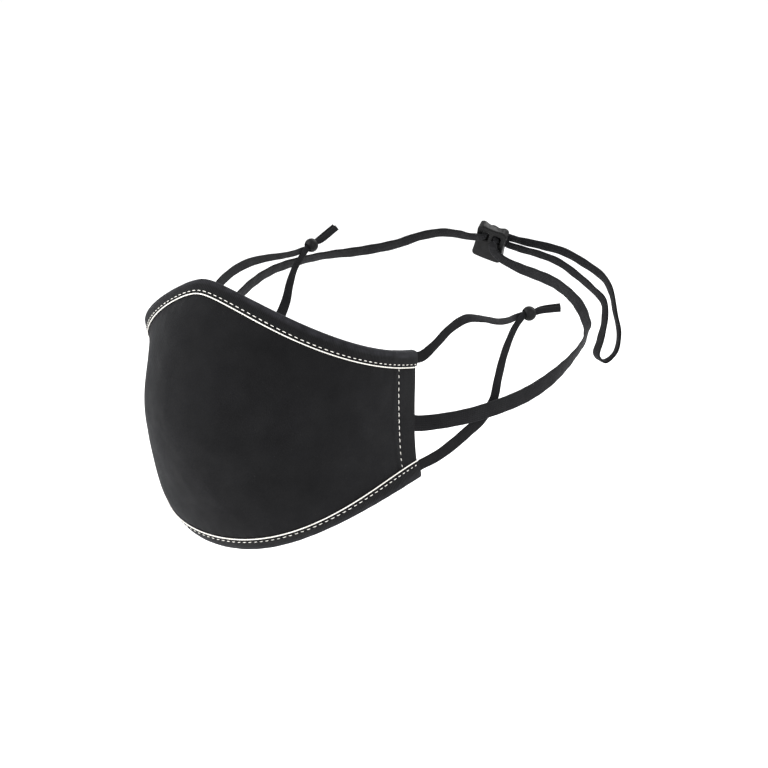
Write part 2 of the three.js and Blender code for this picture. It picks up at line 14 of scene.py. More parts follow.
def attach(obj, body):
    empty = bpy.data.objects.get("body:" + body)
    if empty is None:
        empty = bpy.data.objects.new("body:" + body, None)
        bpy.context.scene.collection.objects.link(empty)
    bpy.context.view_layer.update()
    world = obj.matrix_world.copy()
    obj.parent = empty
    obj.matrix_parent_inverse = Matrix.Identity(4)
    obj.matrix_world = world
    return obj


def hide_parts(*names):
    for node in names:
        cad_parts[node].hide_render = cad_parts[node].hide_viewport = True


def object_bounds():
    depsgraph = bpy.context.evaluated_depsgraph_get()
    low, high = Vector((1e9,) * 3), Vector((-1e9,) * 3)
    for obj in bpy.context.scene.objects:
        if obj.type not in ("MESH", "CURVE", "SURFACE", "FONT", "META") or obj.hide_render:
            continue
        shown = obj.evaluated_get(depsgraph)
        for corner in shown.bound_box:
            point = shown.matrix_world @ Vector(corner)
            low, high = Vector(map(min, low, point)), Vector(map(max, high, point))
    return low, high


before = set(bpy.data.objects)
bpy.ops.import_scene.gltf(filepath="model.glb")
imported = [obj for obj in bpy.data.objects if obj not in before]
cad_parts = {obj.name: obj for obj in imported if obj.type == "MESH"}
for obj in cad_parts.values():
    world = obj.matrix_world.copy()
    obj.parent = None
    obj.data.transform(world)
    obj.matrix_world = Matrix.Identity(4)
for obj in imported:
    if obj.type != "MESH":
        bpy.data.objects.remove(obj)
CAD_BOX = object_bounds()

MM = 0.001

# ---- the camera ------------------------------------------------------------------------------

VIEW = {"azimuth": 35.0, "elevation": 8.0, "distance": 1.5, "lens": 140.0,
        "aim": (0.03206, 0.02417, 0.01001)}


def place_camera():
    """A long lens from the wearer's left front, a little above the mask."""
    azimuth, elevation = math.radians(VIEW["azimuth"]), math.radians(VIEW["elevation"])
    away = Vector((math.sin(azimuth) * math.cos(elevation),
                   -math.cos(azimuth) * math.cos(elevation), math.sin(elevation)))
    lens = bpy.data.cameras.new("camera")
    lens.lens, lens.sensor_width = VIEW["lens"], 36.0
    lens.clip_start, lens.clip_end = 0.05, 50.0
    camera = bpy.data.objects.new("camera", lens)
    camera.location = Vector(VIEW["aim"]) + away * VIEW["distance"]
    camera.rotation_euler = away.to_track_quat("Z", "Y").to_euler()
    bpy.context.collection.objects.link(camera)
    bpy.context.scene.camera = camera


place_camera()

# ---- sizes, in millimetres -------------------------------------------------------------------

GAP = 0.3
WALL = 1.6
HEM = {"width": 15.0, "extra": 1.0, "ramp": 1.5}
BINDING = {"width": 8.0, "skin": 0.8, "fold": 0.65}      # a fold of 1 is round, and less is squarer
PIPING = {"radius": 0.35, "twist": 1.5}
SEAM = BINDING["width"] + GAP + 2 * PIPING["radius"]
STITCH = {"pitch": 3.2, "length": 2.3, "thick": 0.38, "sunk": 0.12}
STITCH_CURVE = {"crown": 0.30, "dip": 0.75}      # in shares of a stitch's thickness
EDGE_ROW = {"top": 0.95, "bottom": 1.05}         # from the binding's edge
SIDE_ROW = (-1.4, -0.8, 13.5)                    # from the side edge, as a curve down the cup
EAR_ELASTIC = {"thick": 1.0, "rib": 0.8, "course": 0.9, "wave": 0.10}
NECK_STRAP = {"thick": 1.2, "rib": 1.0, "course": 1.1, "wave": 0.12}
BAND_SECTION = {"corner": 0.75, "round": 0.55, "least": 0.22, "rib_height": 0.05, "bunching": 0.9,
                "wave_length": 11}
BEAD = {"radius": 3.8, "bore": 2.3, "lip": 0.4}

# How far cloth and tape stand out of their plain form: heights and lengths of the swells and nips.
SWELL = {"height": 0.30, "length": 46, "fine_height": 0.07, "fine_length": 13, "fade": 12}
PUCKER = {"height": 0.13, "fade": 4}
HEM_EDGE = 0.16
CLOTH_GROOVE = {"depth": 0.30, "half": 0.9}
TAPE_GROOVE = {"depth": 0.26, "half": 0.75}
TAPE_FACE = {"roll": 0.16, "uneven": 0.07, "uneven_length": 9, "lip": 0.18, "lip_half": 0.5}

# How finely the meshes are divided.
CLOTH_MESH = {"round": 190, "down": 96}
FINER_CLOTH = (11.5, 17.5, 0.4)                  # from, to and step, round from a side edge
TAPE_MESH = {"round": 420, "leg": 12, "fold": 12}
CORD_MESH = {"sides": 12, "steps": 1100}
BAND_MESH = {"steps_a_row": 14, "half_round": 13}
STITCH_PATH = {"edge": 900, "side": 300}


def table(columns, rows):
    """Rows of numbers as arrays with the named columns."""
    return dict(zip(columns.split(), np.array(rows, dtype=float).T))


# The cup in five hoops from its top edge to its chin edge. middle and side are the hoop's heights
# at its middle and its ends, reach is how far forward its middle lies, half is half its width,
# square fills out its corners, back is where its ends lie, peak raises its middle to a point, sweep
# carries the middle's height further round, and nose pushes its middle forward, or flattens it
# where it is below nought.
HOOPS = table("at middle side reach half square back peak sweep nose", [
    [0.00, 70.0, 32.5, 79.0, 69.5, 0.12, -2.3, 0.73, 0.09, 0],
    [0.25, 48.0, 24.5, 84.0, 68.0, 0.05, -0.4, 0.50, 0.00, 8],
    [0.50, 2.0, 2.0, 84.5, 66.0, 0.15, 1.8, 0.20, -0.18, 11],
    [0.75, -48.4, -18.5, 68.6, 66.5, 0.18, 2.2, 0.00, 0.33, 1.5],
    [1.00, -64.2, -31.0, 60.7, 68.5, 0.01, 3.3, 0.00, 0.42, -3.7],
])
PEAK_ROUNDING = 0.09
NOSE_SHARPNESS = 8
SIDE_REACH = HOOPS["reach"][2] + HOOPS["back"][2]
NEAR_SIDE = 1.4                                  # radians round the cup, about where its hems are sewn

# A band's rows: where its middle line lies, its width there, and which way its outer face looks.
BAND = "x y z width lookX lookY lookZ"
# A sewn end lies inside the cup: degrees round the cup, distance from the edge, depth in, width.
SEWN = "angle down deep width"

EAR_LEFT_UPPER = table(BAND, [
    [66.6, 6.1, 28.4, 5.6, 1, -0.4, 0.1],
    [69.7, 13.0, 33.2, 4.8, 1, -0.4, 0.1],
    [73.0, 22.1, 40.8, 4.6, 1, -0.3, 0.1],
    [75.3, 33.0, 45.0, 4.6, 1, -0.2, 0.4],
    [76.8, 45.3, 43.9, 3.8, 1, 0.0, 0.6],
    [77.2, 59.5, 41.2, 3.6, 1, -0.1, 0.5],
    [76.3, 70.3, 40.7, 3.4, 1, -0.3, 0.3],
    [75.3, 79.4, 41.5, 3.3, 0.81, -0.55, 0.21],
    [77.0, 83.0, 42.4, 3.2, 0.81, -0.55, 0.21],
    [78.7, 85.6, 42.8, 3.2, 0.81, -0.55, 0.21],
    [80.3, 88.2, 43.3, 3.2, 0.81, -0.55, 0.21],
    [82.4, 91.7, 44.8, 3.2, 0.81, -0.55, 0.21],
    [88.3, 100.6, 45.9, 3.2, 0.81, -0.55, 0.21],
])
EAR_LEFT_LOWER = table(BAND, [
    [66.1, 9.3, -25.0, 5.7, 1, -0.5, -0.1],
    [70.2, 16.2, -21.6, 5.7, 1, -0.5, 0.0],
    [73.4, 25.0, -16.8, 5.7, 1, -0.4, 0.2],
    [75.6, 34.5, -11.6, 5.6, 1, -0.3, 0.3],
    [77.0, 45.5, -6.1, 5.4, 1, -0.3, 0.3],
    [77.9, 54.4, 2.2, 5.0, 1, -0.4, 0.3],
    [78.3, 58.0, 12.5, 4.6, 1, -0.5, 0.2],
    [77.9, 64.0, 23.9, 4.2, 1, -0.5, 0.1],
    [77.3, 72.0, 33.5, 3.6, 1, -0.5, 0.2],
    [77.0, 76.0, 37.0, 3.4, 0.9, -0.5, 0.2],
    [78.0, 79.5, 40.7, 3.3, 0.81, -0.55, 0.21],
    [78.6, 82.2, 42.8, 3.2, 0.81, -0.55, 0.21],
    [80.1, 84.6, 43.2, 3.2, 0.81, -0.55, 0.21],
    [81.8, 87.2, 43.6, 3.2, 0.81, -0.55, 0.21],
    [83.5, 89.9, 44.2, 3.2, 0.81, -0.55, 0.21],
    [89.5, 98.7, 44.8, 3.2, 0.81, -0.55, 0.21],
])
EAR_RIGHT_UPPER = table(BAND, [
    [-66.4, 5.5, 31.0, 5.4, -1, -0.2, 0.0],
    [-69.4, 12.0, 39.5, 5.3, -1, -0.2, -0.1],
    [-72.6, 21.0, 51.2, 5.0, -1, 0.0, -0.3],
    [-75.4, 36.7, 58.2, 4.8, -1, 0.0, -0.2],
    [-76.6, 53.1, 62.2, 4.8, -1, 0.0, -0.2],
    [-77.4, 70.0, 63.5, 4.2, -1, 0.0, 0.1],
    [-78.2, 86.9, 63.6, 3.6, -1, 0.0, 0.2],
    [-79.3, 99.0, 64.0, 3.4, -1, 0.2, 0],
    [-80.6, 107.6, 64.8, 3.3, -0.85, 0.45, -0.3],
    [-79.6, 110.2, 65.5, 3.2, -0.79, 0.48, -0.39],
    [-78.7, 112.8, 67.0, 3.2, -0.79, 0.48, -0.39],
    [-77.8, 115.4, 68.4, 3.2, -0.79, 0.48, -0.39],
    [-76.9, 117.9, 70.2, 3.2, -0.79, 0.48, -0.39],
    [-73.6, 127.6, 76.6, 3.2, -0.79, 0.48, -0.39],
])
EAR_RIGHT_LOWER = table(BAND, [
    [-66.2, 9.0, -24.8, 5.6, -1, -0.2, -0.1],
    [-70.2, 18.0, -20.4, 5.6, -1, -0.1, -0.2],
    [-73.6, 33.0, -12.6, 5.6, -1, 0.1, -0.2],
    [-75.6, 47.0, -4.4, 5.7, -1, 0.2, -0.3],
    [-76.8, 60.0, 5.4, 5.8, -1, 0.4, -0.4],
    [-77.6, 72.0, 17.4, 5.8, -1, 0.6, -0.5],
    [-77.9, 82.9, 30.2, 5.8, -1, 0.7, -0.5],
    [-78.0, 89.1, 38.8, 5.2, -1, 0.7, -0.4],
    [-77.8, 92.4, 48.1, 4.4, -1, 0.6, -0.3],
    [-78.4, 98.2, 56.5, 3.6, -1, 0.4, -0.3],
    [-78.0, 103.4, 61.7, 3.3, -0.9, 0.45, -0.35],
    [-78.1, 109.5, 66.3, 3.2, -0.79, 0.48, -0.39],
    [-77.3, 112.0, 67.6, 3.2, -0.79, 0.48, -0.39],
    [-76.4, 114.6, 69.1, 3.2, -0.79, 0.48, -0.39],
    [-75.2, 116.6, 69.6, 3.2, -0.79, 0.48, -0.39],
    [-71.5, 126.9, 76.2, 3.2, -0.79, 0.48, -0.39],
])
UPPER_SEWN = table(SEWN, [[82, 9.6, 4.5, 5.4], [86, 7.0, 4.5, 5.4], [90, 4.8, 4.5, 5.4]])
LOWER_SEWN = table(SEWN, [[82, 9.6, 4.5, 5.6], [86, 7.0, 4.6, 5.6], [90, 4.8, 4.8, 5.6]])
EAR_BEADS = {
    "left": {"place": (79.4, 85.1, 43.0), "along": (0.53, 0.84, 0.15)},
    "right": {"place": (-78.0, 112.4, 67.3), "along": (0.29, 0.84, 0.46)},
}

# The neck strap, from the right side edge through the slider, round its loose loop and back
# through the slider to the left side edge. Its rows at the slider are in the slider's own axes.
NECK_SEWN = table(SEWN, [[81.5, 37, 3.5, 8], [85.8, 37, 3.5, 8], [90, 37, 3.5, 8]])
NECK_RIGHT = table(BAND, [
    [-63.4, 6.5, -4.0, 8.0, -1, -0.3, 0.0],
    [-68.0, 13.0, 0.5, 8.0, -1, -0.4, 0.1],
    [-74.0, 23.0, 11.0, 8.0, -1, -0.3, 0.2],
    [-79.5, 35.0, 25.0, 8.0, -1, -0.2, 0.4],
    [-83.6, 50.0, 40.5, 8.0, -1, -0.1, 0.4],
    [-85.3, 66.0, 48.6, 7.8, -1, -0.1, 0.4],
    [-85.1, 85.2, 55.1, 7.2, -1, 0.0, 0.6],
    [-82.4, 103.5, 58.5, 7.0, -1, 0.1, 0.8],
    [-76.0, 124.0, 61.1, 7.0, -0.9, 0.3, 1.0],
    [-66.2, 141.8, 62.5, 7.0, -1, 0.6, 0.9],
    [-52.9, 156.2, 65.8, 7.0, -0.9, 0.8, 1.0],
    [-41.6, 163.9, 70.3, 6.4, -0.6, 0.8, 0.9],
    [-30.0, 168.4, 72.6, 5.8, -0.3, 1, 0.8],
    [-19.1, 169.3, 72.1, 5.4, 0.0, 1, 0.6],
])
NECK_SLIDER_IN = table(BAND, [
    [-11.0, -4.3, 2.4, 5.0, 0, 1, 0],
    [-7.7, -4.3, 3.8, 4.8, 0, 1, 0],
    [-5.2, -4.3, 4.9, 4.5, -0.35, 1, 0],
    [-3.5, -2.6, 5.3, 4.2, -1, 0.3, 0],
    [-3.4, 0.0, 5.4, 4.2, -1, 0, 0],
    [-3.3, 3.2, 5.2, 4.2, -1, 0.3, 0],
    [-1.8, 5.7, 4.6, 4.4, -0.4, 1, 0],
    [2.0, 6.4, 3.3, 4.6, 0, 1, 0],
    [7.0, 6.4, 1.9, 4.8, 0, 1, 0],
    [11.0, 6.5, 2.1, 4.9, 0, 1, 0],
])
NECK_LOOP = table(BAND, [
    [9.4, 189.0, 68.3, 5.0, -0.3, 1, 0.7],
    [19.7, 193.0, 66.1, 5.2, -0.2, 1, 0.5],
    [30.4, 197.4, 63.1, 5.4, -0.1, 1, 0.5],
    [40.9, 201.0, 57.5, 5.6, 0.1, 1, 0.4],
    [53.2, 203.2, 49.2, 5.8, 0.3, 1, 0.4],
    [57.5, 203.6, 41.9, 5.8, 0.6, 1, 0.2],
    [60.4, 203.0, 31.3, 5.8, 0.8, 1, 0.1],
    [63.0, 203.0, 19.3, 5.8, 0.8, 1, 0.0],
    [61.2, 202.0, 9.1, 5.8, 0.8, 0.9, -0.6],
    [56.9, 198.0, 4.5, 5.8, 0, 0.2, -1],
    [54.4, 194.0, 8.1, 5.8, -0.5, -1, -0.4],
    [57.1, 193.0, 16.3, 5.8, -0.4, -1, 0.1],
    [59.8, 193.0, 27.7, 5.8, -0.5, -1, 0.1],
    [59.1, 193.1, 37.7, 5.8, -0.4, -1, -0.2],
    [52.3, 192.4, 44.4, 5.8, -0.3, -1, -0.5],
    [42.9, 191.8, 51.2, 5.6, -0.1, -1, -0.5],
    [32.2, 190.2, 57.9, 5.4, 0.0, -1, -0.6],
    [20.8, 188.2, 61.8, 5.2, 0.1, -1, -0.7],
    [11.8, 186.8, 63.8, 5.0, 0, -1, -0.7],
])
NECK_SLIDER_OUT = table(BAND, [
    [11.8, 4.4, -1.6, 4.8, 0, -1, 0],
    [8.6, 4.4, -1.6, 4.6, 0, -1, 0],
    [5.8, 4.6, 0.9, 4.4, 0.2, -1, 0],
    [4.5, 4.2, 3.5, 4.2, 0.6, -0.8, 0],
    [3.7, 2.2, 5.0, 4.0, 1, -0.2, 0],
    [3.5, 0.0, 5.2, 4.0, 1, 0, -0.2],
    [3.1, -3.0, 5.4, 4.0, 0.6, 0.5, 0.7],
    [2.7, -4.8, 3.3, 4.4, 0.1, 1, 0.2],
    [3.1, -4.6, 0.4, 5.0, 0, 1, 0],
    [5.4, -4.5, -2.6, 5.6, 0, 1, 0],
    [9.2, -4.6, -4.6, 5.8, 0, 1, 0],
])
NECK_LEFT = table(BAND, [
    [6.7, 180.8, 56.4, 5.8, 0.2, 1, 0.3],
    [15.3, 179.4, 54.0, 6.2, 0.2, 1, 0.2],
    [27.4, 176.6, 51.6, 6.6, 0.3, 1, 0.2],
    [40.2, 172.5, 48.8, 7.0, 0.4, 1, 0.2],
    [53.5, 166.6, 43.9, 7.2, 0.5, 1, 0.1],
    [64.4, 160.2, 37.9, 7.4, 0.5, 0.84, -0.22],
    [74.2, 150.6, 31.0, 7.4, 0.61, 0.71, -0.34],
    [78.5, 144.0, 28.1, 7.4, 0.65, 0.58, -0.48],
    [80.6, 139.5, 26.2, 7.4, 0.9, 0.4, -0.17],
    [85.8, 124.1, 21.6, 7.4, 0.9, 0.32, -0.28],
    [87.8, 108.4, 15.3, 7.6, 1, 0.2, -0.2],
    [87.9, 90.9, 8.9, 7.8, 1, 0, 0],
    [86.4, 71.9, 3.5, 7.8, 1, -0.1, 0.1],
    [83.0, 50.9, -0.4, 7.9, 1, -0.2, 0],
    [77.5, 30.4, -3.2, 8.0, 1, -0.3, -0.1],
    [70.4, 16.0, -4.6, 8.0, 1, -0.5, -0.1],
    [64.4, 7.5, -5.0, 8.0, 1, -0.4, 0],
])
SLIDER = {"place": (-3.9, 177.3, 68.2), "lean": 35, "roll": 25, "turn": 9}

# ---- the cup's surface -----------------------------------------------------------------------


def hoop_at(v):
    """The hoop at height fractions v, blended smoothly between the table's rows."""
    spans = len(HOOPS["at"]) - 1
    span = np.clip(np.floor(v * spans).astype(int), 0, spans - 1)
    s = v * spans - span
    hoop = {}
    for name, rows in HOOPS.items():
        rows = np.concatenate([[2 * rows[0] - rows[1]], rows, [2 * rows[-1] - rows[-2]]])
        a, b, c, d = (rows[span + k] for k in range(4))
        hoop[name] = b + 0.5 * s * (c - a + s * (2 * a - 5 * b + 4 * c - d + s * (3 * (b - c) + d - a)))
    return hoop


def cup(phi, v):
    """Points of the cup's outer face. phi runs from -90 to 90 degrees round the front, in radians."""
    hoop = hoop_at(v)
    sin, cos = np.sin(phi), np.cos(phi)
    point = ((np.hypot(sin, PEAK_ROUNDING) - PEAK_ROUNDING)
             / (math.hypot(1, PEAK_ROUNDING) - PEAK_ROUNDING))
    rise = 1 - (1 - hoop["peak"]) * sin ** 2 - hoop["peak"] * point + hoop["sweep"] * (cos - cos ** 2)
    reach = (hoop["back"] + hoop["reach"]) * cos * (1 + hoop["square"] * sin ** 2)
    return np.stack([
        hoop["half"] * sin * (1 + hoop["square"] * cos ** 2),
        hoop["back"] - reach - hoop["nose"] * np.maximum(cos, 0) ** NOSE_SHARPNESS,
        hoop["side"] + (hoop["middle"] - hoop["side"]) * rise,
    ], axis=-1)


def unit(vectors):
    """The same directions, one long."""
    return vectors / np.linalg.norm(vectors, axis=-1, keepdims=True)


def cup_normal(phi, v):
    """The directions that point out of the cup's face."""
    step = 1e-4
    round_it = cup(phi + step, v) - cup(phi - step, v)
    down_it = cup(phi, v + step) - cup(phi, v - step)
    return unit(np.cross(down_it, round_it))


MERIDIAN = np.linspace(0, 1, 81)


def meridian_lengths(phi):
    """Lengths down the cup's face from its top edge, one row for each angle."""
    steps = np.diff(cup(phi[:, None], MERIDIAN[None, :]), axis=1)
    return np.pad(np.cumsum(np.linalg.norm(steps, axis=-1), axis=1), ((0, 0), (1, 0)))


def height_at(phi, down, from_chin=False):
    """The height fraction at a distance from the top edge, or from the chin edge."""
    lengths = meridian_lengths(phi)
    if from_chin:
        down = lengths[:, -1:] - down
    return np.stack([np.interp(row, whole, MERIDIAN) for row, whole in zip(down, lengths)])


def on_cup(phi, down, out, from_chin=False):
    """Points at distances down from an edge and out from the cup's face, one row for each angle."""
    v = height_at(phi, down, from_chin)
    angles = np.broadcast_to(phi[:, None], v.shape)
    return cup(angles, v) + cup_normal(angles, v) * out[..., None]


def hemmed(phi):
    """One where the cloth is turned in along the side edges, and nought elsewhere."""
    from_side = (math.pi / 2 - np.abs(phi)) * SIDE_REACH
    return 1 - np.clip((from_side - HEM["width"]) / HEM["ramp"], 0, 1)


def thickness_at(phi):
    """The cloth's thickness: one wall, plus the turned-in hems."""
    return WALL + HEM["extra"] * hemmed(phi)


def side_row_turn(v):
    """How far round from a side edge, in radians, the upright stitches lie at height fractions v."""
    widest = 0.35
    turns = np.linspace(0, widest, 36)
    hoops = cup(*np.broadcast_arrays(math.pi / 2 - turns[None, :], v[:, None]))
    lengths = [round_lengths(hoop) for hoop in hoops]
    return np.array([np.interp(np.polyval(SIDE_ROW, at), row, turns) for at, row in zip(v, lengths)])


def round_lengths(points):
    """Lengths along a row of points."""
    return np.concatenate([[0], np.cumsum(np.linalg.norm(np.diff(points, axis=0), axis=-1))])


def cup_angles(count):
    """Angles round the cup, closer together by the side hems and their stitches."""
    fine = math.pi / 2 - np.arange(*FINER_CLOTH) / SIDE_REACH
    return np.unique(np.concatenate([np.linspace(-math.pi / 2, math.pi / 2, count), fine, -fine]))


def ripples(points, scale, seed):
    """A soft uneven swell over points, from about -1 to 1, from a few crossing waves."""
    random = np.random.default_rng(seed)
    total = np.zeros(points.shape[:-1])
    for _ in range(7):
        direction = unit(random.normal(size=3))
        waves = 2 * math.pi / scale * random.uniform(0.6, 1.7)
        total += np.sin(points @ direction * waves + random.uniform(0, 2 * math.pi))
    return total / 4


# ---- meshes ----------------------------------------------------------------------------------


def piece_from_rings(name, rings, uv):
    """A closed body through rings of points. Each ring's halves mirror each other, point i facing
    point -1-i, so that strips between them close its two ends. uv is in metres, on every point."""
    count, size = rings.shape[:2]
    index = np.arange(count * size).reshape(count, size)
    ahead = np.roll(index, -1, axis=1)
    walls = np.stack([index[:-1], ahead[:-1], ahead[1:], index[1:]], axis=-1).reshape(-1, 4)
    half = np.arange(size // 2 - 1)
    ends = []
    for ring, turn in ((index[0], 1), (index[-1], -1)):
        across = [ring[half], ring[size - 1 - half], ring[size - 2 - half], ring[half + 1]]
        ends.append(np.stack(across, axis=-1)[:, ::turn])
    faces = np.concatenate([walls, *ends])
    points = rings.reshape(-1, 3) * MM
    a, b, c, d = (points[faces[:, k]] for k in range(4))
    volume = np.sum(a * (np.cross(b, c) + np.cross(c, d)))
    if volume < 0:
        faces = faces[:, ::-1]
    mesh = bpy.data.meshes.new(name)
    mesh.from_pydata(points.tolist(), [], faces.tolist())
    layer = mesh.uv_layers.new(name="cloth")
    layer.data.foreach_set("uv", uv.reshape(-1, 2)[faces.ravel()].ravel())
    mesh.update()
    piece = bpy.data.objects.new(name, mesh)
    bpy.context.collection.objects.link(piece)
    mesh.polygons.foreach_set("use_smooth", [True] * len(mesh.polygons))
    return piece


def active_only(piece):
    """Deselects everything else, so that an operator acts on this piece alone."""
    if bpy.context.mode != "OBJECT":
        bpy.ops.object.mode_set(mode="OBJECT")
    bpy.ops.object.select_all(action="DESELECT")
    piece.select_set(True)
    bpy.context.view_layer.objects.active = piece


def apply_place(piece):
    active_only(piece)
    bpy.ops.object.transform_apply(location=True, rotation=True, scale=True)


def apply_modifiers(piece):
    active_only(piece)
    for modifier in list(piece.modifiers):
        bpy.ops.object.modifier_apply(modifier=modifier.name)


def smooth_by_angle(piece, degrees):
    active_only(piece)
    bpy.ops.object.shade_smooth_by_angle(angle=math.radians(degrees))


def finish(piece, material, slot, *nodes):
    """Gives a piece its material, lets it ride on the mask and stand for its nodes."""
    piece.data.materials.clear()
    piece.data.materials.append(material)
    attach(piece, "root")
    if nodes:
        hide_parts(*nodes)
    return piece


# ---- pieces of the cup -----------------------------------------------------------------------


def crest_radius(phi):
    """Half the thickness of a bound edge."""
    return thickness_at(phi) / 2 + GAP + BINDING["skin"]


def cloth_swell(points, phi, down, whole):
    """How far the face cloth stands out of its moulded form: a soft swell, the puckers that the
    binding's seams draw, the hem's edge showing through and the groove of the side stitches."""
    to_seam = np.minimum(down, whole - down) - SEAM
    swell = (SWELL["height"] * ripples(points, SWELL["length"], 3)
             + SWELL["fine_height"] * ripples(points, SWELL["fine_length"], 5))
    swell = swell * np.clip(to_seam / SWELL["fade"], 0, 1)
    along = round_lengths(points[:, points.shape[1] // 2])[:, None]
    pucker = (PUCKER["height"] * np.cos(math.pi * along / STITCH["pitch"])
              * np.exp(-np.clip(to_seam, 0, None) / PUCKER["fade"]))
    row = np.interp(down / whole, MERIDIAN, side_row_turn(MERIDIAN))
    beside = (math.pi / 2 - np.abs(phi)[:, None] - row) * SIDE_REACH
    nips = 0.6 + 0.4 * np.cos(2 * math.pi * (down - SEAM) / STITCH["pitch"])
    groove = CLOTH_GROOVE["depth"] * np.exp(-(beside / CLOTH_GROOVE["half"]) ** 2) * nips
    under_binding = to_seam < 0
    return np.where(under_binding, 0, swell + pucker + HEM_EDGE * hemmed(phi)[:, None] - groove)


def face_cup(material):
    """The moulded face cloth, one wall that is hollow behind, with its side edges turned in."""
    phi = cup_angles(CLOTH_MESH["round"])
    rim = crest_radius(phi)[:, None]
    whole = meridian_lengths(phi)[:, -1:]
    share = np.linspace(0, 1, CLOTH_MESH["down"])[None, :]
    down = rim + (whole - 2 * rim) * share
    flat = on_cup(phi, down, np.zeros_like(down))
    swell = cloth_swell(flat, phi, down, whole)
    outer = on_cup(phi, down, swell)
    inner = on_cup(phi, down, swell - thickness_at(phi)[:, None])
    rings = np.concatenate([outer, inner[:, ::-1]], axis=1)
    middle = round_lengths(cup(phi, np.full_like(phi, 0.5)))
    uv = np.stack([np.broadcast_to(middle[:, None], down.shape), down], axis=-1) * MM
    piece = piece_from_rings("face_cup", rings, np.concatenate([uv, uv[:, ::-1]], axis=1))
    smooth_by_angle(piece, 50)
    return finish(piece, material, "face_cloth", "face_panel")


LEG = np.linspace(0, 1, TAPE_MESH["leg"], endpoint=False)
FOLD = np.linspace(0, math.pi, TAPE_MESH["fold"] + 1)


def folded_tape(crest, cloth, radius):
    """Distances down from an edge and out from the cup's face, round one face of a folded tape: up
    its outer leg, over its crest and down its inner leg."""
    rise = np.sin(FOLD) ** BINDING["fold"]
    spread = np.sign(np.cos(FOLD)) * np.abs(np.cos(FOLD)) ** BINDING["fold"]
    leg = BINDING["width"] + (crest - BINDING["width"]) * LEG
    down = np.concatenate([leg, crest - radius * rise, leg[:, ::-1]], axis=1)
    out = np.concatenate([np.broadcast_to(radius, leg.shape), radius * spread,
                          np.broadcast_to(-radius, leg.shape)], axis=1)
    return down, out - cloth / 2


def tape_relief(across, along, row, places):
    """How far a binding's face stands out: a soft roll over each leg, an uneven hand, the groove that
    its stitches draw along their row, and the thin lip where the tape ends."""
    leg = np.abs(across)[None, :]
    nips = 0.55 + 0.45 * np.cos(2 * math.pi * along / STITCH["pitch"])[:, None]
    groove = TAPE_GROOVE["depth"] * np.exp(-((leg - row) / TAPE_GROOVE["half"]) ** 2) * nips
    roll = TAPE_FACE["roll"] * np.sin(math.pi * np.clip(leg / BINDING["width"], 0, 1))
    uneven_hand = TAPE_FACE["uneven"] * ripples(places, TAPE_FACE["uneven_length"], 11)
    lip = TAPE_FACE["lip"] * np.exp(-((leg - BINDING["width"]) / TAPE_FACE["lip_half"]) ** 2)
    return roll + uneven_hand - groove - lip


def edge_binding(edge, from_chin, material):
    """Tape folded over an edge of the cup. uv runs across the tape from its crest and along it."""
    phi = cup_angles(TAPE_MESH["round"])
    crest = crest_radius(phi)[:, None]
    cloth = thickness_at(phi)[:, None]
    down_outside, out_outside = folded_tape(crest, cloth, crest)
    down_inside, out_inside = folded_tape(crest, cloth, crest - BINDING["skin"])
    across = np.concatenate([BINDING["width"] * (1 - LEG), np.zeros(len(FOLD)),
                             -BINDING["width"] * (1 - LEG[::-1])])
    half_way = np.full((len(phi), 1), BINDING["width"] / 2)
    along = round_lengths(on_cup(phi, half_way, np.zeros((len(phi), 1)), from_chin)[:, 0])
    places = on_cup(phi, down_outside, out_outside, from_chin)
    facing = np.where(across >= 0, 1, -1)
    relief = tape_relief(across, along, BINDING["width"] - EDGE_ROW[edge], places)
    outside = on_cup(phi, down_outside, out_outside + facing * relief, from_chin)
    inside = on_cup(phi, down_inside, out_inside, from_chin)
    rings = np.concatenate([outside, inside[:, ::-1]], axis=1)
    uv = np.stack(np.broadcast_arrays(across[None, :], along[:, None]), axis=-1) * MM
    piece = piece_from_rings(f"{edge}_edge_tape", rings, np.concatenate([uv, uv[:, ::-1]], axis=1))
    smooth_by_angle(piece, 50)
    return finish(piece, material, "binding", f"{edge}_binding")


def seam_cord(name, from_chin, material, node):
    """A thin cord of two twisted plies, laid in the seam beside a binding."""
    sides = CORD_MESH["sides"]
    angles = 2 * math.pi * (np.arange(sides) + 0.5) / sides
    phi = np.linspace(-math.pi / 2, math.pi / 2, CORD_MESH["steps"])
    middle = BINDING["width"] + GAP + PIPING["radius"]
    path = on_cup(phi, np.full((len(phi), 1), middle), np.zeros((len(phi), 1)), from_chin)[:, 0]
    along = round_lengths(path)[:, None]
    twist = angles[None, :] - math.pi * along / PIPING["twist"]
    radius = PIPING["radius"] * (0.84 + 0.12 * np.cos(2 * twist))
    out = GAP + PIPING["radius"] + radius * np.sin(angles)
    rings = on_cup(phi, middle + radius * np.cos(angles), out, from_chin)
    order = np.arange(sides)
    around = np.minimum(order, sides - 1 - order) * 2 * math.pi * PIPING["radius"] / sides
    uv = np.stack(np.broadcast_arrays(around[None, :], along), axis=-1) * MM
    return finish(piece_from_rings(name, rings, uv), material, "thread", node)


